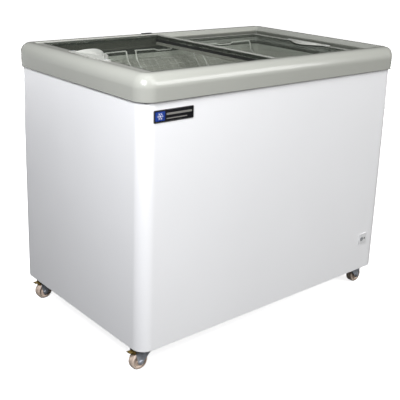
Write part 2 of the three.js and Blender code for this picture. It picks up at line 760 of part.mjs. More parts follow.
/** The brake pedal: a plate on a cross pin, with a shoe over the wheel's tread. */
function casterBrake() {
  const { pivotX, pivotZ, pin, plateTip, halfWidth } = BRAKE;
  const side = new THREE.Shape();
  side.moveTo(pivotX - 5, pivotZ - 3);
  side.lineTo(pivotX + 4, pivotZ - 7.5);
  side.lineTo(pivotX + 11, pivotZ - 7.5);
  side.lineTo(pivotX + 10, pivotZ - 1);
  side.lineTo(plateTip, pivotZ + 2);
  side.lineTo(plateTip, pivotZ + 5);
  side.lineTo(pivotX + 4, pivotZ + 4);
  side.lineTo(pivotX - 5, pivotZ + 3);
  const reach = FORK.legGap + FORK.legThickness;
  return join(
    upright(side, -halfWidth, halfWidth),
    rodAlongY(pin, [-reach, reach], pivotX, pivotZ, 10),
  );
}

function addCaster(corner, x, y, turn) {
  const caster = new THREE.Group();
  caster.position.set(x, y, 0);
  caster.rotation.z = turn;
  piece(`caster_${corner}_plate`, blackPaint, casterPlate(), caster);
  piece(`caster_${corner}_fork`, zinc, casterFork(), caster);
  piece(`caster_${corner}_wheel`, casterNylon, casterWheel(), caster);
  piece(`caster_${corner}_axle`, zinc, casterAxle(), caster);
  piece(`caster_${corner}_brake`, brassPlate, casterBrake(), caster);
  freezer.add(caster);
}

// ---------------------------------------------------------------- assembly

piece("outer_shell", paint, outerShell());
piece("back_panel", galvanised, backPanel());
piece("rear_grille", blackPaint, rearGrille());
piece("base_pan", galvanised, basePan());
piece("foam_insulation", foamMaterial, foamInsulation());
piece("inner_liner", linerMetal, innerLiner());
piece("breaker_collar", darkPlastic, breakerCollar());
piece("rim_frame", rimPlastic, rimFrame());
piece("lock_slot_insert", darkPlastic, prism(slotPlan(0), CROWN - SLOT.depth, CROWN - 0.5));
piece("front_badge", blackPaint, frontBadge());
piece("control_plate", paint, controlPlate());
piece("thermostat_dial", lampLens, thermostatDial());
piece("thermostat_body", darkPlastic, thermostatBody());
piece("power_lamp", lampLens, powerLamp());
piece("condenser_coil", copper, condenserCoil());
piece("evaporator_coil", copper, evaporatorCoil());
piece("compressor", blackPaint, compressor());
piece("compressor_tray", galvanised, compressorTray());
piece("start_relay", darkPlastic, startRelay());
piece("filter_drier", copper, filterDrier());
piece("discharge_pipe", copper, dischargePipe());
piece("suction_pipe", copper, suctionPipe());
piece("cord_gland", blackRubber, cordGland());
piece("drain_tube", darkPlastic, drainTube());
piece("drain_plug", blackRubber, drainPlug());

addLid("left_lid", -1, UPPER_TRACK, UPPER_LID);
addLid("right_lid", 1, LOWER_TRACK, LOWER_LID);
piece("lid_meeting_seal", blackRubber, meetingSeal());

["left", "middle", "right"].forEach((place, i) => {
  piece(`basket_${place}`, wireCoating, basket((i - 1) * BASKET.pitch));
});

const casterX = SHELL.x - CASTER.inset;
const casterY = SHELL.y - CASTER.inset;
addCaster("front_left", -casterX, -casterY, Math.PI);
addCaster("front_right", casterX, -casterY, 0);
addCaster("back_left", -casterX, casterY, Math.PI);
addCaster("back_right", casterX, casterY, 0);

export default freezer;
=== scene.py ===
import math

import bmesh
import bpy
from mathutils import Matrix, Vector


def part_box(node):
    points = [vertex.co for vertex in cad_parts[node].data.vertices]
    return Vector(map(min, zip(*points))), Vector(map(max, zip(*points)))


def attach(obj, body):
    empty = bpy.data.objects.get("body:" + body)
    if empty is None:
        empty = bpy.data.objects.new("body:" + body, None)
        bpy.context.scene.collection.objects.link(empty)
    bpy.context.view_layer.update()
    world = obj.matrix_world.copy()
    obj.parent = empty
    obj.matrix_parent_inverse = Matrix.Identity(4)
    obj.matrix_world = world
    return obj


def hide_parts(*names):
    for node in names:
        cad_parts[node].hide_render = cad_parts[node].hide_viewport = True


# The looks of a display chest freezer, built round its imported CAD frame.
# Lengths in this file are millimetres in the row frame: +X to the right, the front faces -Y, +Z up.

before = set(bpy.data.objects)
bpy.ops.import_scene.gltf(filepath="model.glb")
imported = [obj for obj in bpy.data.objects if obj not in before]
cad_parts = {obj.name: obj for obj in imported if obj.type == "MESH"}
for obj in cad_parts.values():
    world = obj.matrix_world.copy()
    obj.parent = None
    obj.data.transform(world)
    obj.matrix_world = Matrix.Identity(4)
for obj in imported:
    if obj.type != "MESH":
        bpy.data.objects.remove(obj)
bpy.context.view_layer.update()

MM = 0.001
SHARP_ANGLE = 38  # degrees; edges steeper than this stay sharp or get rounded
BACKWARD = (0, 1, 0)
UPWARD = (0, 0, 1)
CORNERS = ("front_left", "front_right", "back_left", "back_right")


def limits(node):
    """A CAD node's (low, high) on each axis."""
    low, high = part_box(node)
    return [(low[axis] / MM, high[axis] / MM) for axis in range(3)]


# ---------------- levels and sides, from the frame

RIM_X, RIM_Y, RIM_Z = limits("rim_frame")
RIM_FOOT, CROWN = RIM_Z
SHELL_X, SHELL_Y, SHELL_Z = limits("outer_shell")
CORNER = 40  # the cabinet's upright corners


def placed(name, data):
    """A new object in the scene."""
    shown = bpy.data.objects.new(name, data)
    bpy.context.scene.collection.objects.link(shown)
    return shown


# ---------------- camera

CAMERA = {
    "place": (-1592.9, -1806.2, 1195.7),
    "yaw": 40.70,  # degrees from +Y towards +X
    "down": 16.78,
    "roll": 1.97,
    "lens": 67.75,
    "shift": -0.10,
    "sensor": 36,
    "far_end": 200,  # metres
}


def make_camera():
    """A camera that looks down at the front left corner, its place and turn given by CAMERA."""
    data = bpy.data.cameras.new("camera")
    data.sensor_width = CAMERA["sensor"]
    data.lens = CAMERA["lens"]
    data.shift_y = CAMERA["shift"]
    data.clip_end = CAMERA["far_end"]
    camera = placed("camera", data)
    yaw, down, roll = (math.radians(CAMERA[key]) for key in ("yaw", "down", "roll"))
    forward = Vector((math.sin(yaw) * math.cos(down), math.cos(yaw) * math.cos(down), -math.sin(down)))
    level = Vector((math.cos(yaw), -math.sin(yaw), 0))
    right = level * math.cos(roll) + level.cross(forward) * math.sin(roll)
    up = right.cross(forward)
    turn = Matrix((right, up, -forward)).transposed()
    camera.matrix_world = Matrix.Translation(Vector(CAMERA["place"]) * MM) @ turn.to_4x4()
    bpy.context.scene.camera = camera


# ---------------- materials

GLASS_TINT = (0.91, 0.915, 0.895)
GLASS_EDGE_POWER = 5  # how late a reflection grows as the glass is seen edge on
COLLAR_LIP_TOP = 799  # below this level the collar is pale, next to the liner


def new_material(name):
    """A new material with its nodes, its links and its shader."""
    material = bpy.data.materials.new(name)
    material.use_nodes = True
    tree = material.node_tree
    return material, tree.nodes, tree.links, tree.nodes["Principled BSDF"]


def object_point(nodes, links, stretch=(1, 1, 1)):
    """The surface point in the object's own frame, stretched for streaks."""
    coordinates = nodes.new("ShaderNodeTexCoord")
    mapping = nodes.new("ShaderNodeMapping")
    mapping.inputs["Scale"].default_value = stretch
    links.new(coordinates.outputs["Object"], mapping.inputs["Vector"])
    return mapping.outputs["Vector"]


def noise(nodes, links, point, size, detail=3.0, roughness=0.5):
    """Noise whose lumps are about this many millimetres across."""
    texture = nodes.new("ShaderNodeTexNoise")
    texture.inputs["Scale"].default_value = 1 / (size * MM)
    texture.inputs["Detail"].default_value = detail
    texture.inputs["Roughness"].default_value = roughness
    links.new(point, texture.inputs["Vector"])
    return texture.outputs["Fac"]


def spread(nodes, links, value, low, high, start=0.3, end=0.7):
    """Maps a value from start..end to low..high, and holds it there."""
    ranged = nodes.new("ShaderNodeMapRange")
    ranged.inputs["From Min"].default_value = start
    ranged.inputs["From Max"].default_value = end
    ranged.inputs["To Min"].default_value = low
    ranged.inputs["To Max"].default_value = high
    links.new(value, ranged.inputs["Value"])
    return ranged.outputs["Result"]


def mixed(nodes, links, factor, first, second):
    """Two colours, each a tuple or another node's output, mixed by a factor from a texture."""
    mix = nodes.new("ShaderNodeMix")
    mix.data_type = "RGBA"
    links.new(factor, mix.inputs["Factor"])
    for socket, colour in ((mix.inputs["A"], first), (mix.inputs["B"], second)):
        if isinstance(colour, tuple):
            socket.default_value = (*colour, 1)
        else:
            links.new(colour, socket)
    return mix.outputs["Result"]


def bumped(nodes, links, height, distance, strength):
    """A normal that follows a texture's height; distance is its depth in millimetres."""
    bump = nodes.new("ShaderNodeBump")
    bump.inputs["Distance"].default_value = distance * MM
    bump.inputs["Strength"].default_value = strength
    links.new(height, bump.inputs["Height"])
    return bump.outputs["Normal"]


def tinted(colour, factor):
    """A colour made lighter or darker by a factor."""
    return tuple(min(channel * factor, 1.0) for channel in colour)


def surface(name, colour, roughness, metallic=0.0, mottle=0.04, mottle_size=90, polish=0.05,
            grain=0.1, grain_size=1.2, grain_depth=0.1, coat=0.0, coat_roughness=0.03, specular=0.5,
            stretch=(1, 1, 1), grime=0.0):
    """A surface with cloudy colour, uneven polish, a fine grain and, if asked for, dark grime in patches.

    mottle, polish and grain say how strong these are; sizes and depths are in millimetres.
    """
    grime_size, grime_start, grime_end, grime_shade = 9, 0.48, 0.68, 0.12
    material, nodes, links, shader = new_material(name)
    point = object_point(nodes, links, stretch)
    clouds = spread(nodes, links, noise(nodes, links, point, mottle_size), 0, 1)
    shade = mixed(nodes, links, clouds, tinted(colour, 1 - mottle), tinted(colour, 1 + mottle))
    if grime:
        patches = noise(nodes, links, point, grime_size, detail=6, roughness=0.65)
        dirt = spread(nodes, links, patches, 0, grime, grime_start, grime_end)
        shade = mixed(nodes, links, dirt, shade, tinted(colour, grime_shade))
    links.new(shade, shader.inputs["Base Color"])
    wipe = noise(nodes, links, point, mottle_size / 4, detail=4)
    sheen = spread(nodes, links, wipe, roughness - polish, roughness + polish)
    links.new(sheen, shader.inputs["Roughness"])
    fine = noise(nodes, links, point, grain_size, detail=2)
    links.new(bumped(nodes, links, fine, grain_depth, grain), shader.inputs["Normal"])
    shader.inputs["Metallic"].default_value = metallic
    shader.inputs["Coat Weight"].default_value = coat
    shader.inputs["Coat Roughness"].default_value = coat_roughness
    shader.inputs["Specular IOR Level"].default_value = specular
    return material


def glass_material():
    """Thin tinted glass that lamps shine through, with a faint film of wipe marks."""
    material, nodes, links, shader = new_material("lid_glass")
    nodes.remove(shader)
    point = object_point(nodes, links, (1, 0.35, 1))  # the marks run along Y, as a cloth is wiped
    clear = nodes.new("ShaderNodeBsdfTransparent")
    film = spread(nodes, links, noise(nodes, links, point, 160, detail=4), 0, 1)
    links.new(mixed(nodes, links, film, GLASS_TINT, tinted(GLASS_TINT, 0.95)), clear.inputs["Color"])
    gloss = nodes.new("ShaderNodeBsdfGlossy")
    gloss.inputs["Color"].default_value = (0.9, 0.95, 0.92, 1)
    smear = noise(nodes, links, point, 40, detail=5)
    links.new(spread(nodes, links, smear, 0.02, 0.09), gloss.inputs["Roughness"])
    edge_on = nodes.new("ShaderNodeLayerWeight")
    edge_on.inputs["Blend"].default_value = 0.5
    steep = nodes.new("ShaderNodeMath")
    steep.operation = "POWER"
    steep.inputs[1].default_value = GLASS_EDGE_POWER
    links.new(edge_on.outputs["Facing"], steep.inputs[0])
    mix = nodes.new("ShaderNodeMixShader")
    links.new(spread(nodes, links, steep.outputs["Value"], 0.015, 0.5, 0, 1), mix.inputs["Fac"])
    links.new(clear.outputs["BSDF"], mix.inputs[1])
    links.new(gloss.outputs["BSDF"], mix.inputs[2])
    links.new(mix.outputs["Shader"], nodes["Material Output"].inputs["Surface"])
    return material


def add_pale_lip(material):
    """Makes the dark collar's plastic pale below, next to the liner."""
    nodes, links = material.node_tree.nodes, material.node_tree.links
    base = nodes["Principled BSDF"].inputs["Base Color"]
    dark = base.links[0].from_socket
    point = object_point(nodes, links)
    height = nodes.new("ShaderNodeSeparateXYZ")
    links.new(point, height.inputs["Vector"])
    lip_top = COLLAR_LIP_TOP * MM
    upper = spread(nodes, links, height.outputs["Z"], 0, 1, lip_top - 0.5 * MM, lip_top)
    clouds = spread(nodes, links, noise(nodes, links, point, 120), 0, 1)
    pale = mixed(nodes, links, clouds, (0.55, 0.58, 0.54), (0.60, 0.63, 0.58))
    links.new(mixed(nodes, links, upper, pale, dark), base)


# each finish's colour and roughness, and what else differs from a plain surface
FINISHES = {
    "white_paint": ((0.92, 0.92, 0.925), 0.34, dict(mottle=0.012, mottle_size=400, polish=0.04,
        grain_size=2.2, grain_depth=0.12, coat=0.25, coat_roughness=0.25)),
    "white_plate": ((0.78, 0.78, 0.78), 0.3, dict(mottle=0.02, mottle_size=30, grain=0.15,
        grain_size=0.8)),
    "rim_plastic": ((0.43, 0.435, 0.395), 0.24, dict(mottle=0.012, mottle_size=350, polish=0.02,
        grain=0.12, grain_size=1.0, grain_depth=0.08, coat=0.3)),
    "track_plastic": ((0.15, 0.155, 0.13), 0.42, dict(mottle=0.03, mottle_size=120, grain=0.2,
        grain_size=1.0)),
    # a darker copy of track_plastic for the lower track's wall: painted shade, as that wall lies deeper
    # under the lids
    "lower_track_painted_shade": ((0.095, 0.10, 0.085), 0.45, dict(mottle=0.05, mottle_size=100, grain=0.2,
        grain_size=1.0)),
    "handle_plastic": ((0.47, 0.475, 0.44), 0.33, dict(mottle_size=60, grain=0.2, grain_size=0.7)),
    "dark_plastic": ((0.055, 0.062, 0.053), 0.5, dict(mottle=0.15, mottle_size=70, grain=0.3,
        grain_size=0.8, specular=0.2)),
    "collar_plastic": ((0.055, 0.062, 0.053), 0.5, dict(mottle=0.15, mottle_size=70, grain=0.3,
        grain_size=0.8)),
    "grey_plastic": ((0.30, 0.31, 0.32), 0.45, dict(mottle=0.05, mottle_size=20, grain=0.3,
        grain_size=0.6)),
    "liner_sheet": ((0.63, 0.64, 0.60), 0.38, dict(metallic=0.25, mottle=0.06, mottle_size=150,
        polish=0.08, grain=0.35, grain_size=5, grain_depth=0.3)),
    "galvanised_sheet": ((0.58, 0.60, 0.62), 0.42, dict(metallic=0.5, mottle=0.07, mottle_size=18,
        polish=0.08, grain_size=6)),
    "insulation_foam": ((0.75, 0.62, 0.34), 0.9, dict(mottle=0.12, mottle_size=25, grain=0.8,
        grain_size=2.5, grain_depth=0.6)),
    "basket_wire": ((0.78, 0.80, 0.77), 0.35, dict(mottle=0.06, mottle_size=30, grain=0.25,
        grain_size=0.9, coat=0.2)),
    "black_paint": ((0.014, 0.014, 0.016), 0.42, dict(mottle=0.3, mottle_size=30, grain=0.25,
        grain_size=1.5, coat=0.15)),
    "badge_black": ((0.008, 0.008, 0.010), 0.45, dict(mottle=0.25, mottle_size=25, grain=0.05,
        specular=0.2)),
    "badge_blue": ((0.018, 0.055, 0.30), 0.4, dict(mottle=0.25, mottle_size=14, grain=0.05,
        specular=0.2)),
    "badge_silver": ((0.38, 0.37, 0.34), 0.4, dict(metallic=0.5, mottle=0.12, mottle_size=12, grain=0.15,
        stretch=(1, 1, 14))),
    "lamp_lens": ((0.12, 0.13, 0.12), 0.3, dict(mottle=0.15, mottle_size=4, grain_size=0.8)),
    "copper_pipe": ((0.60, 0.27, 0.14), 0.32, dict(metallic=0.95, mottle=0.25, mottle_size=40,
        polish=0.12, grain=0.2)),
    "black_rubber": ((0.02, 0.02, 0.021), 0.7, dict(mottle=0.25, mottle_size=20, grain=0.5,
        grain_size=0.7)),
    "zinc_plate": ((0.50, 0.53, 0.58), 0.42, dict(metallic=0.4, mottle=0.2, mottle_size=14, polish=0.14,
        grain=0.15, grain_size=1.5, grime=0.5)),
    "caster_black": ((0.016, 0.015, 0.015), 0.45, dict(mottle=0.3, mottle_size=18, grain=0.3)),
    "caster_nylon": ((0.78, 0.63, 0.52), 0.42, dict(mottle=0.12, mottle_size=22, polish=0.08, grain=0.3,
        grain_size=1.0, grime=0.45)),
    "caster_line": ((0.10, 0.065, 0.045), 0.6, dict(mottle=0.3, mottle_size=10, grain=0.4)),
    "brake_brass": ((0.55, 0.38, 0.12), 0.36, dict(metallic=0.6, mottle=0.3, mottle_size=10, polish=0.14,
        grain=0.2, grime=0.7)),
}
materials = {"lid_glass": glass_material()}
for finish_name, (colour, roughness, rest) in FINISHES.items():
    materials[finish_name] = surface(finish_name, colour, roughness, **rest)
add_pale_lip(materials["collar_plastic"])


# ---------------- mesh helpers


def middle_of(span):
    """The middle between two limits."""
    return (span[0] + span[1]) / 2


def ring(x, y, radius, z, steps=8):
    """A level loop round a rectangle with round corners. Its number of points depends only on steps."""
    centres = (
        (x[1] - radius, y[1] - radius),
        (x[0] + radius, y[1] - radius),
        (x[0] + radius, y[0] + radius),
        (x[1] - radius, y[0] + radius),
    )
    points = []
    for quarter, (cx, cy) in enumerate(centres):
        for i in range(steps + 1):
            angle = math.pi / 2 * (quarter + i / steps)
            points.append((cx + radius * math.cos(angle), cy + radius * math.sin(angle), z))
    return points


def grown(x, y, by):
    """The limits of a rectangle that is larger by this much on each side."""
    return (x[0] - by, x[1] + by), (y[0] - by, y[1] + by)


def loft(bm, loops, around=True, along=False, caps=False, material=0):
    """Faces between neighbouring loops of equally many points.

    around closes each loop on itself, along joins the last loop to the first, caps fills open ends.
    """
    rows = [[bm.verts.new(Vector(point) * MM) for point in points] for points in loops]
    count = len(rows[0])
    faces = []
    for i in range(len(rows) if along else len(rows) - 1):
        here, after = rows[i], rows[(i + 1) % len(rows)]
        for j in range(count if around else count - 1):
            k = (j + 1) % count
            faces.append(bm.faces.new((here[j], here[k], after[k], after[j])))
    if caps and around:
        faces.append(bm.faces.new(rows[0][::-1]))
        faces.append(bm.faces.new(rows[-1]))
    if caps and along:
        faces.append(bm.faces.new([row[0] for row in rows]))
        faces.append(bm.faces.new([row[-1] for row in rows][::-1]))
    for face in faces:
        face.material_index = material
    return faces


def rounded(corners, steps=4):
    """A closed outline of (across, up, radius) corners, rounded.

    Gives each point with its corner's index.
    """
    points = []
    for i, (across, up, radius) in enumerate(corners):
        here = Vector((across, up))
        if not radius:
            points.append((here, i))
            continue
        before = (Vector(corners[i - 1][:2]) - here).normalized()
        after = (Vector(corners[(i + 1) % len(corners)][:2]) - here).normalized()
        half = before.angle(after) / 2
        centre = here + (before + after).normalized() * (radius / math.sin(half))
        start = here + before * (radius / math.tan(half)) - centre
        end = here + after * (radius / math.tan(half)) - centre
        for k in range(steps + 1):
            points.append((centre + start.slerp(end, k / steps), i))
    return points


def turned(bm, profile, centre, axis, segments=32, material=0, wave=None):
    """A solid of revolution from (radius, along) points round an axis, closed at both ends.

    wave(index, angle, radius) may change a point's radius, for a knurl, a hexagon or a cross recess.
    """
    along = Vector(axis).normalized()
    side = along.orthogonal().normalized()
    other = along.cross(side)
    loops = []
    for index, (radius, height) in enumerate(profile):
        points = []
        for k in range(segments):
            angle = 2 * math.pi * k / segments
            reach = wave(index, angle, radius) if wave else radius
            out = (side * math.cos(angle) + other * math.sin(angle)) * reach
            points.append(Vector(centre) + along * height + out)
        loops.append(points)
    loft(bm, loops, caps=True, material=material)


def hexagon(index, angle, reach):
    """A wave for turned: how far a hexagon's side is from its middle, with its corners at reach."""
    across = angle % (math.pi / 3) - math.pi / 6
    return reach * math.cos(math.pi / 6) / math.cos(across)


def meshed(name, bm, finishes):
    """Turns a bmesh into an object with these materials."""
    bmesh.ops.recalc_face_normals(bm, faces=bm.faces)
    mesh = bpy.data.meshes.new(name)
    bm.to_mesh(mesh)
    bm.free()
    for finish in finishes:
        mesh.materials.append(finish)
    return placed(name, mesh)


def piece(name, body, bm, slots, replaces=(), sharp=SHARP_ANGLE):
    """Turns a bmesh into a piece that rides on a body. slots are keys of materials, in index order."""
    shown = meshed(name, bm, [materials[slot] for slot in slots])
    shown.data.shade_smooth()
    shown.data.set_sharp_from_angle(angle=math.radians(sharp))
    weighted = shown.modifiers.new("flat_stays_flat", "WEIGHTED_NORMAL")
    weighted.keep_sharp = True
    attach(shown, body)
    if replaces:
        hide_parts(*replaces)


def smoothing_group():
    """Geometry nodes that shade smooth, with sharp edges only where faces meet at a real angle."""
    group = bpy.data.node_groups.new("smooth_by_angle", "GeometryNodeTree")
    group.interface.new_socket("Geometry", in_out="INPUT", socket_type="NodeSocketGeometry")
    group.interface.new_socket("Geometry", in_out="OUTPUT", socket_type="NodeSocketGeometry")
    nodes, links = group.nodes, group.links
    start = nodes.new("NodeGroupInput")
    end = nodes.new("NodeGroupOutput")
    angle = nodes.new("GeometryNodeInputMeshEdgeAngle")
    steep = nodes.new("FunctionNodeCompare")
    steep.operation = "GREATER_THAN"
    steep.inputs["B"].default_value = math.radians(SHARP_ANGLE)
    normals = nodes.new("GeometryNodeSetMeshNormal")
    normals.mode = "SHARPNESS"
    normals.inputs["Remove Custom"].default_value = True
    links.new(angle.outputs["Unsigned Angle"], steep.inputs["A"])
    links.new(steep.outputs["Result"], normals.inputs["Edge Sharpness"])
    links.new(start.outputs["Geometry"], normals.inputs["Mesh"])
    links.new(normals.outputs["Mesh"], end.inputs["Geometry"])
    return group


SMOOTH = smoothing_group()


def dress(node, slot, bevel):
    """Keeps a CAD node, and gives it a material, smooth shading and edges rounded to a width, if any."""
    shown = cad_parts[node]
    shown.data.materials.clear()
    shown.data.materials.append(materials[slot])
    weld = shown.modifiers.new("weld", "WELD")
    weld.merge_threshold = 0.01 * MM
    flat = shown.modifiers.new("flat_faces", "DECIMATE")
    flat.decimate_type = "DISSOLVE"
    flat.angle_limit = math.radians(0.5)
    smooth = shown.modifiers.new("smooth", "NODES")
    smooth.node_group = SMOOTH
    if bevel:
        rounding = shown.modifiers.new("round_edges", "BEVEL")
        rounding.width = bevel * MM
        rounding.segments = 2
        rounding.limit_method = "ANGLE"
        rounding.angle_limit = math.radians(SHARP_ANGLE)
        rounding.use_clamp_overlap = True
        rounding.miter_outer = "MITER_ARC"
        rounding.harden_normals = True


# ---------------- rim and cabinet

ROUND = {"width": 32, "height": 37, "steps": 14}  # the quarter ellipse of the rim's outer edge
UPPER_TRACK = {"inset": 45, "level": 55.7}
LOWER_TRACK = {"inset": 58, "level": 36}
LEDGE = {"inset": 70, "underside": 32}
SKIRT = {"height": 12, "thickness": 7.7}
LID_CORNER = 8
LEDGE_CORNER = 20
SHELL = {"sheet": 2, "hem": 14, "fold": 0.9, "back_return": 20}


def build_rim():
    """The moulded rim, from its round outer edge over both tracks to the ledge and down to the skirt."""
    corner = CORNER + SHELL_X[0] - RIM_X[0]
    foot = RIM_FOOT
    shoulder = CROWN - ROUND["height"]
    # each key is an inset, a level, the profile's own radius there, and the radius of the rim's corner
    keys = [(0, foot, 2.2, corner), (0, shoulder, 0, corner)]
    for i in range(1, ROUND["steps"] + 1):
        angle = math.pi / 2 * i / ROUND["steps"]
        inset = ROUND["width"] * (1 - math.cos(angle))
        keys.append((inset, shoulder + ROUND["height"] * math.sin(angle), 0, corner - inset))
    track, shelf, ledge = UPPER_TRACK["inset"], LOWER_TRACK["inset"], LEDGE["inset"]
    upper = foot + UPPER_TRACK["level"]
    lower = foot + LOWER_TRACK["level"]
    under = foot + LEDGE["underside"]
    skirt_top = foot + SKIRT["height"]
    keys += [
        (track, CROWN, 1.8, LID_CORNER), (track, upper, 0.5, LID_CORNER),
        (shelf, upper, 1.2, LID_CORNER), (shelf, lower, 0.5, LID_CORNER),
        (ledge, lower, 1.4, LEDGE_CORNER), (ledge, under, 0.8, LEDGE_CORNER),
        (shelf, under, 0, LID_CORNER), (shelf, skirt_top, 0, LID_CORNER),
        (SKIRT["thickness"], skirt_top, 0, CORNER), (SKIRT["thickness"], foot, 1, CORNER),
    ]
    loops = []
    line = []
    for point, index in rounded([key[:3] for key in keys]):
        inset, z = point
        key_inset, _, _, key_corner = keys[index]
        radius = max(key_corner + key_inset - inset, 0.5)
        loops.append(ring(*grown(RIM_X, RIM_Y, -inset), radius, z, steps=12))
        line.append(point)
    bm = bmesh.new()
    faces = loft(bm, loops, along=True)
    for index, face in enumerate(faces):
        row = index // len(loops[0])
        inset, z = (line[row] + line[(row + 1) % len(line)]) / 2
        if inset > track - 0.5 and under < z < CROWN - 1.6:  # the tracks, below the crown's round edge
            # the lower track's wall takes the darker copy of the track plastic, which is painted shade
            face.material_index = 1 if z > upper - 0.5 else 2
    piece("rim_moulding", "cabinet", bm, ["rim_plastic", "track_plastic", "lower_track_painted_shade"],
          replaces=["rim_frame"], sharp=50)


def wrapped(inset, z):
    """A line round the cabinet's left side, front and right side, from one back return to the other."""
    steps = 12
    x, y = grown(SHELL_X, SHELL_Y, -inset)
    points = ring(x, y, CORNER - inset, z, steps)
    per_corner = steps + 1
    back_right, back_left = points[:per_corner], points[per_corner : 2 * per_corner]
    front = points[2 * per_corner :]
    reach = SHELL_X[1] - CORNER - SHELL["back_return"]
    return [(-reach, y[1], z), *back_left, *front, *back_right, (reach, y[1], z)]


def build_shell():
    """The painted wrap, with a folded hem along its lower edge."""
    sheet, fold = SHELL["sheet"], SHELL["fold"]
    low, high = SHELL_Z
    outline = [
        (0, low, fold), (0, high, 0), (sheet, high, 0), (sheet, low + SHELL["hem"], 0),
        (sheet + 0.05, low, fold),
    ]
    lines = [wrapped(*point) for point, _ in rounded(outline)]
    bm = bmesh.new()
    loft(bm, lines, around=False, along=True, caps=True)
    piece("painted_wrap", "cabinet", bm, ["white_paint"], replaces=["outer_shell"], sharp=50)


def screw_head(bm, centre, axis, radius):
    """A pan head with a cross recess."""
    arm, half_width = radius * 0.55, radius * 0.16

    def cross(index, angle, reach):
        if index < 4:
            return reach
        offset = abs((angle + math.pi / 4) % (math.pi / 2) - math.pi / 4)
        if math.tan(offset) * arm <= half_width * 1.05:
            return arm / math.cos(offset)
        return half_width / math.sin(offset)

    height = radius * 0.5
    profile = [(radius, 0), (radius, height * 0.35), (radius * 0.9, height * 0.7), (radius * 0.68, height)]
    profile += [(arm, height), (arm, height * 0.35)]
    turned(bm, profile, centre, axis, segments=24, wave=cross)


def build_back_screws():
    """Self-tapping screws along the back panel's edges and at the grille's corners."""
    panel_head, grille_head, grille_inset = 4.5, 3.5, 7
    side_inset, row_bottom, row_top, row_end = 14, 30, 45, 130
    x, y, z = limits("back_panel")
    face = y[1]
    bm = bmesh.new()
    shares = [i / 3 for i in range(4)]  # four screws in a row
    for side in (-1, 1):
        for share in shares:
            height = z[0] + row_bottom + share * (z[1] - z[0] - row_bottom - row_top)
            screw_head(bm, (side * (x[1] - side_inset), face, height), BACKWARD, panel_head)
    for share in shares:
        across = x[0] + row_end + share * (x[1] - x[0] - 2 * row_end)
        screw_head(bm, (across, face, z[1] - row_top), BACKWARD, panel_head)
    grille_x, grille_y, grille_z = limits("rear_grille")
    for across in (grille_x[0] + grille_inset, grille_x[1] - grille_inset):
        for height in (grille_z[0] + grille_inset, grille_z[1] - grille_inset):
            screw_head(bm, (across, grille_y[1], height), BACKWARD, grille_head)
    piece("back_screws", "cabinet", bm, ["zinc_plate"])


def build_lock_slot():
    """The dark insert in the rim's back edge, with a low raised lip round its slot."""
    raised, wall, edge, depth = 3, 2.6, 0.6, 2
    x, y, z = limits("lock_slot_insert")
    end = (y[1] - y[0]) / 2 - 0.01
    top = CROWN + raised
    slit = grown(x, y, -wall)
    bm = bmesh.new()
    loops = [
        ring(x, y, end, z[0]),
        ring(x, y, end, top - edge),
        ring(*grown(x, y, -edge), end - edge, top),
        ring(*slit, end - wall, top),
        ring(*slit, end - wall, CROWN - depth),
    ]
    loft(bm, loops, caps=True)
    piece("lock_slot", "cabinet", bm, ["black_paint"], replaces=["lock_slot_insert"])


# ---------------- badge and control plate

BADGE = {"radius": 3, "edge": 0.5, "inset": 4.5, "line_inset": 1.2, "line": 0.3, "room": 5}
BADGE_BARS = ((0.62, 0.98, 0.16), (0.26, 0.80, 0.08))  # level, length and thickness, as shares


def upright(x, z, radius, y):
    """A loop round an upright rectangle with round corners, at one depth."""
    return [(across, y, up) for across, up, _ in ring(x, z, radius, 0, steps=6)]


def flat_plate(bm, x, z, back, front, radius, edge, material=0):
    """An upright plate with round corners and a rounded front edge; front is the lower Y."""
    levels = ((0, back), (0, front + edge), (edge * 0.3, front + edge * 0.3), (edge, front))
    loops = [upright(*grown(x, z, -inset), max(radius - inset, 0.2), y) for inset, y in levels]
    loft(bm, loops, caps=True, material=material)


def build_badge():
    """A black plate with a thin silver line, a blue field with a snow crystal, and two plain bars."""
    x, (front, back), z = limits("front_badge")
    height = z[1] - z[0]
    inset = BADGE["inset"]
    base = front + BADGE["edge"]  # the plate's own face
    sunk, face = front + 0.6, front + 0.25  # the back and the front of what lies on it
    bm = bmesh.new()
    flat_plate(bm, x, z, back, base, BADGE["radius"], BADGE["edge"])
    line_x, line_z = grown(x, z, -BADGE["line_inset"])
    section = ((0, base), (0, front + 0.3), (-BADGE["line"], front + 0.3), (-BADGE["line"], base))
    loops = [upright(*grown(line_x, line_z, by), 2.4, depth) for by, depth in section]
    loft(bm, loops, along=True, material=2)
    field_x = (x[0] + inset, x[0] + height + 2)
    field_z = (z[0] + inset, z[1] - inset)
    flat_plate(bm, field_x, field_z, sunk, face, 2, 0.15, material=1)
    middle = Vector((middle_of(field_x), face, middle_of(field_z)))
    for k in range(6):
        nearer = Vector((0, 0.02 * k, 0))  # keeps the arms from lying in one plane where they cross
        crystal_arm(bm, middle - nearer, math.radians(60 * k), height * 0.30)
    start = field_x[1] + BADGE["room"]
    longest = x[1] - BADGE["room"] - start
    for level, length, thickness in BADGE_BARS:
        bar_z = z[0] + height * level
        half = height * thickness / 2
        flat_plate(bm, (start, start + longest * length), (bar_z - half, bar_z + half),
                   sunk, face, min(half * 0.9, 1.2), 0.15, material=2)
    piece("badge", "cabinet", bm, ["badge_black", "badge_blue", "badge_silver", "white_plate"],
          replaces=["front_badge"], sharp=30)


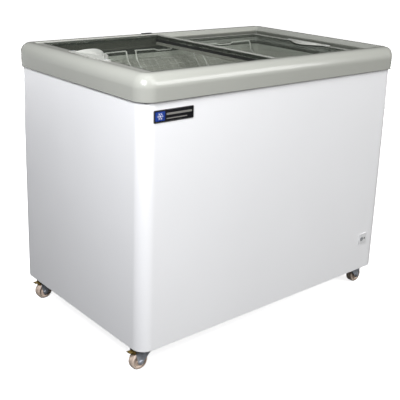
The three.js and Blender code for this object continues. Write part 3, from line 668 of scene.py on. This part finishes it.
def crystal_arm(bm, middle, turn, arm):
    """One arm of the crystal: a thin bar with two short side bars."""
    along = Vector((math.cos(turn), 0, math.sin(turn)))
    across = Vector((-math.sin(turn), 0, math.cos(turn)))

    def bar(start, end, half, face):
        side = (end - start).normalized().cross(Vector(BACKWARD)) * half
        loops = []
        for depth in (0.1, face):
            lift = Vector((0, depth, 0))
            loops.append([p + lift for p in (start - side, start + side, end + side, end - side)])
        loft(bm, loops, caps=True, material=3)

    bar(middle, middle + along * arm, 0.55, -0.08)
    fork = middle + along * arm * 0.55
    for side in (-1, 1):
        bar(fork, fork + (along * 0.6 + across * side * 0.8) * arm * 0.38, 0.4, -0.05 + side * 0.01)


def build_control():
    """The control plate keeps its CAD holes; the dial gets a knurled head and the lamp a domed lens."""
    dress("control_plate", "white_plate", 0.5)
    x, y, z = limits("thermostat_dial")
    centre_x, centre_z = middle_of(x), middle_of(z)
    radius = (x[1] - x[0]) / 2
    front = y[0]
    ridges, ridge_depth = 18, 0.35

    def knurl(index, angle, reach):
        if index in (1, 2):  # the two rows of the dial's side
            return reach - ridge_depth * (0.5 + 0.5 * math.cos(ridges * angle))
        return reach

    bm = bmesh.new()
    head = [(3, 20), (radius, 4), (radius, 0.7), (radius - 0.8, 0), (radius - 2.4, 0), (radius - 2.8, 0.5)]
    turned(bm, head, (centre_x, front, centre_z), BACKWARD, segments=72, wave=knurl)
    pointer = (centre_x - 0.7, centre_x + 0.7), (centre_z, centre_z + radius - 3.2)
    flat_plate(bm, *pointer, front + 0.6, front + 0.05, 0.4, 0.2, material=1)
    piece("dial", "dial", bm, ["grey_plastic", "badge_black"], replaces=["thermostat_dial"])
    lamp_x, lamp_y, lamp_z = limits("power_lamp")
    lamp_radius = (lamp_x[1] - lamp_x[0]) / 2
    dome_height, dome_steps = 1, 6
    dome = [(lamp_radius, lamp_y[1] - lamp_y[0]), (lamp_radius, dome_height)]
    for i in range(1, dome_steps):
        angle = math.pi / 2 * i / dome_steps
        dome.append((lamp_radius * math.cos(angle), dome_height * (1 - math.sin(angle))))
    bm = bmesh.new()
    turned(bm, dome, (middle_of(lamp_x), lamp_y[0], middle_of(lamp_z)), BACKWARD, segments=24)
    piece("lamp", "cabinet", bm, ["lamp_lens"], replaces=["power_lamp"])


# ---------------- lids

SEAT = {"margin": 5, "below_top": 6.3}  # the glass lies in a rebate this wide and deep
LID_MARGIN = {"side": 13, "inner": 10, "outer": 28}


def build_lid(prefix, side):
    """Frame, gasket and glass of one lid; side is -1 for the left one."""
    x, y, z = limits(prefix + "_frame")
    outer, inner = (x[0], x[1]) if side < 0 else (x[1], x[0])
    window_x = tuple(sorted((outer - side * LID_MARGIN["outer"], inner + side * LID_MARGIN["inner"])))
    window = window_x, (y[0] + LID_MARGIN["side"], y[1] - LID_MARGIN["side"])
    seat = grown(*window, SEAT["margin"])
    low, top = z
    floor = top - SEAT["below_top"]
    loops = [
        ring(*grown(x, y, -1), LID_CORNER - 1, low),
        ring(x, y, LID_CORNER, low + 1),
        ring(x, y, LID_CORNER, top - 1.6),
        ring(*grown(x, y, -0.5), LID_CORNER - 0.5, top - 0.5),
        ring(*grown(x, y, -1.6), LID_CORNER - 1.6, top),
        ring(*grown(*seat, 0.7), 1.2, top),
        ring(*seat, 0.6, top - 0.7),
        ring(*seat, 0.6, floor),
        ring(*window, 0.6, floor),
        ring(*window, 0.6, low),
    ]
    # these faces of the frame are coloured dark as painted shade, where the frame's inner wall lies in
    # shadow below the glass
    painted_shade_rows = (7, 8)  # the rebate's floor and the window's wall below it
    bm = bmesh.new()
    for index, face in enumerate(loft(bm, loops, along=True)):
        if index // len(loops[0]) in painted_shade_rows:
            face.material_index = 1
    piece(prefix + "_profile", prefix, bm, ["rim_plastic", "dark_plastic"],
          replaces=[prefix + "_frame"], sharp=50)
    base = limits(prefix + "_glass")[2][1] + 0.1
    lip = 1.5
    bm = bmesh.new()
    loops = [
        ring(*grown(*seat, -0.1), 0.6, base),
        ring(*grown(*seat, -0.1), 0.6, top - 0.9),
        ring(*grown(*seat, -1.2), 0.6, top - 0.3),
        ring(*grown(*window, -lip + 0.8), 0.6, top - 0.9),
        ring(*grown(*window, -lip), 0.6, base),
    ]
    for face in loft(bm, loops, along=True):
        if side * (face.calc_center_median().x / MM - inner) < LID_MARGIN["inner"] + 2:
            face.material_index = 1  # the inner end, where the gasket is as pale as the frame
    piece(prefix + "_gasket", prefix, bm, ["dark_plastic", "rim_plastic"])
    dress(prefix + "_glass", "lid_glass", 0.4)
    build_handle(prefix, side)


GRIP = {"plate": 3, "foot": 20, "sections": 48}
GRIP_LIP = {"inset": 10, "thickness": 3.5, "half_length": 73, "bow": 30}


def build_handle(prefix, side):
    """A moulded grip: a plate that bulges over the glass, and an upright finger lip that bows inwards."""
    x, y, z = limits(prefix + "_handle")
    inward = -side
    edge = x[0] if side < 0 else x[1]
    foot, bulge = GRIP["foot"], x[1] - x[0]
    bow, lip_half = GRIP_LIP["bow"], GRIP_LIP["half_length"]
    half = y[1]
    bottom = z[0]
    lip_height = z[1] - bottom - GRIP["plate"]
    loops = []
    for i in range(GRIP["sections"] + 1):
        t = math.sin(math.pi / 2 * (2 * i / GRIP["sections"] - 1))  # -1 at one end, 1 at the other
        along = t * half
        reach = foot + (bulge - foot) * (0.5 + 0.5 * math.cos(math.pi * t))
        end = min((1 - abs(t)) * half / 2.5, 1)  # 0 at the plate's very end, which is rounded off
        top = bottom + GRIP["plate"] * (0.35 + 0.65 * math.sqrt(max(1 - (1 - end) ** 2, 0)))
        u = min(abs(along) / lip_half, 1)
        arch = 1 - u**2
        rise = lip_height * arch
        scoop = 1.2 * arch
        centre = GRIP_LIP["inset"] + bow * arch
        half_lip = GRIP_LIP["thickness"] / 2 * math.hypot(1, 2 * bow * u / lip_half)
        near, far = centre - half_lip, centre + half_lip
        low_side, high_side, brow = top + rise * 0.35, top + rise * 0.85, top + rise * 0.98
        section = [
            (0.3, bottom), (0, bottom + 0.8), (0, top - 0.9), (0.3, top - 0.3), (1, top),
            (near / 2, top - scoop), (near - 1.2, top), (near - 0.4, top + min(rise, 0.5)),
            (near, low_side), (near + 0.2, high_side), (near + 0.9, brow), (centre, top + rise),
            (far - 0.9, brow), (far - 0.2, high_side), (far, low_side),
            (far + 0.6, top + min(rise, 0.6)), (far + 2.2, top - scoop * 0.3),
            ((far + reach) / 2, top - scoop), (reach - 4, top - scoop * 0.4), (reach - 1.4, top),
            (reach - 0.4, top - 0.4), (reach, top - 1.2), (reach, bottom + 0.5), (reach - 0.5, bottom),
        ]
        loops.append([(edge + inward * across, along, up) for across, up in section])
    bm = bmesh.new()
    loft(bm, loops, caps=True)
    piece(prefix + "_grip", prefix, bm, ["handle_plastic"],
          replaces=[prefix + "_handle"], sharp=60)
    for end in ("front", "back"):
        node = f"{prefix}_handle_screw_{end}"
        screw_x, screw_y, _ = limits(node)
        centre = (middle_of(screw_x), middle_of(screw_y), bottom + GRIP["plate"] - 0.4)
        bm = bmesh.new()
        screw_head(bm, centre, UPWARD, (screw_x[1] - screw_x[0]) / 2)
        piece(f"{prefix}_screw_{end}", prefix, bm, ["zinc_plate"], replaces=[node])


# ---------------- wire baskets


def bent(corners, radius, steps=5):
    """A wire's route: straight runs with round bends."""
    points = [Vector(corner) for corner in corners]
    route = [points[0]]
    for before, here, after in zip(points, points[1:], points[2:]):
        back, on = before - here, after - here
        half = back.angle(on) / 2
        reach = min(radius / math.tan(half), back.length * 0.49, on.length * 0.49)
        back.normalize()
        on.normalize()
        size = reach * math.tan(half)
        centre = here + (back + on).normalized() * (size / math.sin(half))
        start, end = here + back * reach - centre, here + on * reach - centre
        route += [centre + start.slerp(end, k / steps) for k in range(steps + 1)]
    route.append(points[-1])
    return route


def tube(bm, route, radius, sides=10):
    """A round wire along a route, its section carried along without twisting."""
    turns = [2 * math.pi * k / sides for k in range(sides)]
    loops = []
    side = None
    for before, here, after in zip([route[0], *route], route, [*route[1:], route[-1]]):
        along = (after - before).normalized()
        if side is None:
            side = along.orthogonal()
        side = (side - along * side.dot(along)).normalized()
        other = along.cross(side)
        loops.append([here + (side * math.cos(turn) + other * math.sin(turn)) * radius for turn in turns])
    loft(bm, loops, caps=True)


BASKET = {
    "frame_wire": 2.4, "mesh_wire": 0.65, "raised": 94, "drop": 7, "ramp": 8, "straight": 34, "hook": 10,
    "pitch_x": 25, "pitch_y": 26,
}


def build_basket(place):
    """A trough of coated wire: two end frames, a top frame with a hook at each corner, and a mesh."""
    name = "basket_" + place
    x, y, z = limits(name)
    wire, mesh_wire = BASKET["frame_wire"], BASKET["mesh_wire"]
    middle = middle_of(x)
    half_x = (x[1] - x[0]) / 2 - wire
    half_y = y[1] - BASKET["hook"] - wire
    left, right = middle - half_x, middle + half_x
    high, low = z[1] - wire, z[0] + wire
    rail = high - BASKET["drop"]
    bend_z = high - BASKET["straight"]
    floor_y = half_y - (bend_z - low)  # the walls slant inwards at 45 degrees
    bm = bmesh.new()

    def level_wire(yy, up):
        tube(bm, [Vector((left, yy, up)), Vector((right, yy, up))], mesh_wire, 8)

    for across in (left, right):
        frame_route = [
            (across, -half_y, high), (across, -half_y, bend_z), (across, -floor_y, low),
            (across, floor_y, low), (across, half_y, bend_z), (across, half_y, high),
        ]
        tube(bm, bent(frame_route, 12), wire)
    slant = math.hypot(half_y - floor_y, bend_z - low)
    for side in (-1, 1):
        lip_y = side * (y[1] - wire)
        wall_y = side * half_y
        raised = half_x - BASKET["raised"]
        ramp = raised + BASKET["ramp"]
        hook = [
            (left, wall_y, high), (left, lip_y, high), (middle - ramp, lip_y, high),
            (middle - raised, wall_y, rail), (middle + raised, wall_y, rail),
            (middle + ramp, lip_y, high), (right, lip_y, high), (right, wall_y, high),
        ]
        tube(bm, bent(hook, 4, 4), wire)
        level_wire(wall_y, bend_z)
        for i in range(1, int(slant / BASKET["pitch_y"])):
            share = i * BASKET["pitch_y"] / slant
            level_wire(side * (half_y + (floor_y - half_y) * share), bend_z + (low - bend_z) * share)
    runs = int(2 * floor_y / BASKET["pitch_y"])
    for i in range(runs + 1):
        level_wire(-floor_y + 2 * floor_y * i / runs, low)
    ribs = int(2 * half_x / BASKET["pitch_x"])
    gauge = mesh_wire * 1.9  # the ribs lie on the level wires
    for i in range(1, ribs):
        across = left + 2 * half_x * i / ribs
        rib = [
            (across, -half_y + gauge, bend_z), (across, -floor_y, low + gauge),
            (across, floor_y, low + gauge), (across, half_y - gauge, bend_z),
        ]
        tube(bm, bent(rib, 10, 4), mesh_wire, 8)
    piece(name + "_wires", name + "_body", bm, ["basket_wire"], replaces=[name], sharp=60)


# ---------------- casters


def build_wheel(corner):
    """A solid wheel: a round tread, dished sides, a hub, and fine dark lines in sides and tread."""
    x, y, z = limits(f"caster_{corner}_wheel")
    centre = Vector((middle_of(x), middle_of(y), middle_of(z)))
    radius = (x[1] - x[0]) / 2
    half = (y[1] - y[0]) / 2
    rim = half - 1
    groove = 0.5
    side = [
        (5.2, half), (8.6, half), (9.2, half - 0.6), (9.6, rim - 3.2), (11, rim - 4),
        (radius - 10, rim - 4), (radius - 8.6, rim - 3.2), (radius - 7.6, rim - 0.6),
        (radius - 6.6, rim), (radius - 4.4, rim), (radius - 2.4, rim - 0.8),
        (radius - 0.9, rim - 2.4), (radius - 0.25, rim - 4),
    ]
    tread = [
        (radius, rim - 5.2), (radius - groove, rim - 5.6),
        (radius - groove, rim - 6.4), (radius, rim - 6.8),
    ]
    half_profile = side + tread
    profile = half_profile + [(reach, -along) for reach, along in reversed(half_profile)]
    segments = 64
    turns = [2 * math.pi * k / segments for k in range(segments)]
    loops = [
        [centre + Vector((reach * math.cos(turn), along, reach * math.sin(turn))) for turn in turns]
        for reach, along in profile
    ]
    bm = bmesh.new()
    rows = (7, len(side) + 1)  # the edge of the dished side, and the bottom of the tread's groove
    lines = {*rows, *(len(profile) - 2 - row for row in rows)}
    for index, face in enumerate(loft(bm, loops, along=True)):
        if index // segments in lines:
            face.material_index = 1
    piece(f"wheel_{corner}_tyre", f"wheel_{corner}", bm, ["caster_nylon", "caster_line"],
          replaces=[f"caster_{corner}_wheel"], sharp=40)


def build_axle(corner):
    """The axle bolt: a domed head at the back, a shank, and a hexagon nut at the front."""
    x, (front, back), z = limits(f"caster_{corner}_axle")
    radius = (z[1] - z[0]) / 2
    shank_radius, nut_rows = 4, 3
    at_back = (middle_of(x), back, middle_of(z))
    at_front = (middle_of(x), front, middle_of(z))
    bm = bmesh.new()
    head = [
        (shank_radius, -8), (shank_radius, -3.2), (radius, -3), (radius, -1.6), (radius - 1.4, -0.5),
        (radius - 4, 0),
    ]
    turned(bm, head, at_back, BACKWARD)
    turned(bm, [(shank_radius, 0.6), (shank_radius, back - front - 3)], at_front, BACKWARD, segments=24)

    def sides(index, angle, reach):
        return hexagon(index, angle, reach) if index < nut_rows else reach

    nut = [(radius, 3.6), (radius, 0.9), (radius * 0.94, 0.3), (radius * 0.8, 0)]
    turned(bm, nut, at_front, BACKWARD, segments=48, wave=sides)
    piece(f"caster_{corner}_bolt", f"swivel_{corner}", bm, ["zinc_plate"],
          replaces=[f"caster_{corner}_axle"], sharp=35)


def build_race(corner, centre):
    """The lower ball race, a pressed ring on top of the fork."""
    top = limits(f"caster_{corner}_fork")[2][1]
    profile = [(14, -7), (20.6, -7), (22, -5.6), (22, -2.6), (21, -1.2), (18, -0.6), (14, -0.6)]
    bm = bmesh.new()
    turned(bm, profile, (centre.x, centre.y, top), UPWARD, segments=40)
    piece(f"caster_{corner}_race", f"swivel_{corner}", bm, ["zinc_plate"])


def build_plate(corner, centre):
    """The mounting plate, with four bolt heads and the upper race."""
    thickness, edge, bolt_x, bolt_y = 3, 0.6, 25, 23
    x, y, z = limits(f"caster_{corner}_plate")
    top = z[1]
    inner = grown(x, y, -edge)
    bm = bmesh.new()
    loops = [
        ring(*inner, 5 - edge, top), ring(x, y, 5, top - edge),
        ring(x, y, 5, top - thickness + edge), ring(*inner, 5 - edge, top - thickness),
    ]
    loft(bm, loops, caps=True)
    race = [(22, top - 2.6), (21, top - 5), (18, z[0] + 1), (17.4, z[0])]
    turned(bm, race, (centre.x, centre.y, 0), UPWARD, segments=40)
    head = [(5, top - 2.8), (5, top - 5.6), (4.2, top - 6.2)]
    for right in (-1, 1):
        for back in (-1, 1):
            place = (centre.x + right * bolt_x, centre.y + back * bolt_y, 0)
            turned(bm, head, place, UPWARD, segments=24, material=1, wave=hexagon)
    piece(f"caster_{corner}_top", "cabinet", bm, ["caster_black", "zinc_plate"],
          replaces=[f"caster_{corner}_plate"], sharp=35)


PEDAL = {"half_width": 10, "narrowing": 2.6, "thickness": 1.8, "crown": 1, "rise": 3, "tip_lift": 1.2}
PEDAL_PIN = {"out": 35, "level": 59, "radius": 2}


def build_brake(corner, centre):
    """The pressed pedal: a ribbed plate with a raised tip, on a cross pin, with a shoe over the tread."""
    x, y, z = limits(f"caster_{corner}_brake")
    out = 1 if centre.x > 0 else -1
    root, tip = (x[0], x[1]) if out > 0 else (x[1], x[0])
    length = abs(tip - root)
    count, round_from, lift_from = 20, 0.9, 0.86
    loops = []
    for i in range(count + 1):
        t = i / count
        half = PEDAL["half_width"] - PEDAL["narrowing"] * t**2
        if t > round_from:
            half *= math.sqrt(max(1 - ((t - round_from) / (1 - round_from)) ** 2 * 0.55, 0.2))
        crown = PEDAL["crown"] * math.sin(math.pi * min(t * 1.15, 1))
        lift = PEDAL["tip_lift"] * max(t - lift_from, 0) / (1 - lift_from)
        level = z[1] - 4.6 + PEDAL["rise"] * t**1.6 + lift
        section = []
        for share in (-1, -0.94, -0.55, -0.3, 0, 0.3, 0.55, 0.94, 1):
            rib = crown * (1 if abs(share) <= 0.3 else 0.1)
            edge = 0.5 if abs(share) == 1 else 0
            section.append((share * half, level + rib - edge))
        section += [(share * half, level - PEDAL["thickness"]) for share in (0.94, 0.3, -0.3, -0.94)]
        loops.append([(root + out * length * t, centre.y + across, up) for across, up in section])
    bm = bmesh.new()
    loft(bm, loops, caps=True)
    pin_x, pin_z = centre.x + out * PEDAL_PIN["out"], PEDAL_PIN["level"]
    pin_end, pin_side = PEDAL_PIN["radius"] - 0.8, PEDAL_PIN["radius"]
    near, far = y[0] - centre.y, y[1] - centre.y
    pin = [(pin_end, near), (pin_side, near + 0.6), (pin_side, far - 0.6), (pin_end, far)]
    turned(bm, pin, (pin_x, centre.y, pin_z), BACKWARD, segments=20)
    shoe = rounded([
        (pin_x + out * 3, z[0] + 0.2, 1.2), (pin_x + out * 11, z[0] + 0.2, 1.2),
        (pin_x + out * 12, pin_z + 0.8, 1), (pin_x - out * 4, pin_z + 0.8, 1),
    ])
    loft(bm, [[(p[0], centre.y + side, p[1]) for p, _ in shoe] for side in (-8, 8)], caps=True)
    piece(f"caster_{corner}_pedal", f"brake_{corner}", bm, ["brake_brass"],
          replaces=[f"caster_{corner}_brake"], sharp=40)


def build_caster(corner):
    """One caster: its mounting plate, ball race, fork, wheel, axle and brake pedal."""
    x, y, _ = limits(f"caster_{corner}_plate")
    centre = Vector((middle_of(x), middle_of(y), 0))
    build_plate(corner, centre)
    build_race(corner, centre)
    dress(f"caster_{corner}_fork", "zinc_plate", 0.5)
    build_wheel(corner)
    build_axle(corner)
    build_brake(corner, centre)


# ---------------- studio

COOL = (0.96, 0.97, 1.0)
WHITE = (1.0, 1.0, 1.0)
# each lamp's name, place and target in metres, strength, and angle or size; a box has a colour too
SUNS = (
    ("overhead", (0.04, -0.18, 1.0), (0, 0, 0), 0.5, 40),
    ("window", (0.3, -1.0, 0.8), (0, 0, 0), 1.03, 40),
)
BOXES = (
    ("left_box", (-2.0, -1.4, 1.75), (-0.3, -0.25, 0.6), 22, (0.9, 0.7), COOL),
    ("near_box", (-1.7, -1.0, 2.1), (-0.5, -0.25, 0.7), 45, (0.7, 0.5), COOL),
    ("right_box", (1.7, -2.6, 1.9), (0.3, -0.3, 0.5), 34, (1.8, 1.2), WHITE),
    ("back_fill", (-0.3, 3.0, 0.45), (0, 0.3, 0.45), 42, (2.2, 0.7), WHITE),
    ("right_fill", (3.2, 0.7, 0.45), (0.5, 0, 0.45), 36, (2.0, 0.7), WHITE),
)
BACKGROUND_LIGHT = 0.04
FLOOR = {"reach": 60000, "corner": 500, "thickness": 50, "glow": 0.75}


def place_light(data, place, target):
    """A lamp that the camera doesn't see, turned to its target."""
    lamp = placed(data.name, data)
    lamp.location = place
    lamp.visible_camera = False
    lamp.rotation_mode = "QUATERNION"
    lamp.rotation_quaternion = (Vector(target) - Vector(place)).to_track_quat("-Z", "Y")


def build_lights():
    """The lamps of SUNS and BOXES."""
    for name, place, target, energy, angle in SUNS:
        data = bpy.data.lights.new(name, "SUN")
        data.energy = energy
        data.angle = math.radians(angle)
        place_light(data, place, target)
    for name, place, target, energy, size, colour in BOXES:
        data = bpy.data.lights.new(name, "AREA")
        data.energy = energy
        data.color = colour
        data.shape = "RECTANGLE"
        data.size, data.size_y = size
        place_light(data, place, target)


def build_world():
    """A dim white surrounding, which the camera itself sees past the floor at full brightness."""
    world = bpy.data.worlds.new("studio")
    world.use_nodes = True
    nodes, links = world.node_tree.nodes, world.node_tree.links
    dim = nodes["Background"]
    dim.inputs["Color"].default_value = (*WHITE, 1)
    dim.inputs["Strength"].default_value = BACKGROUND_LIGHT
    backdrop = nodes.new("ShaderNodeBackground")
    backdrop.inputs["Color"].default_value = (*WHITE, 1)
    path = nodes.new("ShaderNodeLightPath")
    mix = nodes.new("ShaderNodeMixShader")
    links.new(path.outputs["Is Camera Ray"], mix.inputs["Fac"])
    links.new(dim.outputs["Background"], mix.inputs[1])
    links.new(backdrop.outputs["Background"], mix.inputs[2])
    links.new(mix.outputs["Shader"], nodes["World Output"].inputs["Surface"])
    bpy.context.scene.world = world


def build_floor():
    """A wide white floor that throws no light or reflection back up at the cabinet."""
    material = surface("floor", (0.93, 0.93, 0.93), 0.85, mottle=0.006, mottle_size=600, grain=0.05)
    glow = material.node_tree.nodes["Principled BSDF"].inputs
    glow["Emission Color"].default_value = (*WHITE, 1)
    glow["Emission Strength"].default_value = FLOOR["glow"]
    span = (-FLOOR["reach"], FLOOR["reach"])
    bm = bmesh.new()
    loft(bm, [ring(span, span, FLOOR["corner"], z, 4) for z in (0, -FLOOR["thickness"])], caps=True)
    floor = meshed("floor", bm, [material])
    floor.visible_diffuse = False
    floor.visible_glossy = False


# ---------------- assembly

# the CAD solids that show as they are: their material, how wide their edges are rounded, and their names
KEPT = (
    ("galvanised_sheet", 0.5, ("back_panel", "base_pan")),
    ("galvanised_sheet", 0.4, ("compressor_tray",)),
    ("black_paint", 0.7, ("rear_grille",)),
    ("black_paint", 0, ("compressor",)),
    ("insulation_foam", 0, ("foam_insulation",)),
    ("liner_sheet", 0, ("inner_liner",)),
    ("collar_plastic", 1.2, ("breaker_collar",)),
    ("dark_plastic", 1, ("thermostat_body", "start_relay")),
    ("dark_plastic", 0.3, ("drain_tube",)),
    ("copper_pipe", 0, ("condenser_coil", "evaporator_coil", "filter_drier")),
    ("copper_pipe", 0, ("discharge_pipe", "suction_pipe")),
    ("black_rubber", 0.5, ("cord_gland", "drain_plug")),
    ("black_rubber", 0.6, ("lid_meeting_seal",)),
)

bpy.context.scene.view_settings.view_transform = "Standard"
make_camera()
build_world()
build_lights()
build_floor()
build_rim()
build_shell()
build_back_screws()
build_lock_slot()
build_badge()
build_control()
build_lid("left_lid", -1)
build_lid("right_lid", 1)
for basket_place in ("left", "middle", "right"):
    build_basket(basket_place)
for caster_corner in CORNERS:
    build_caster(caster_corner)
for finish, rounding, names in KEPT:
    for name in names:
        dress(name, finish, rounding)
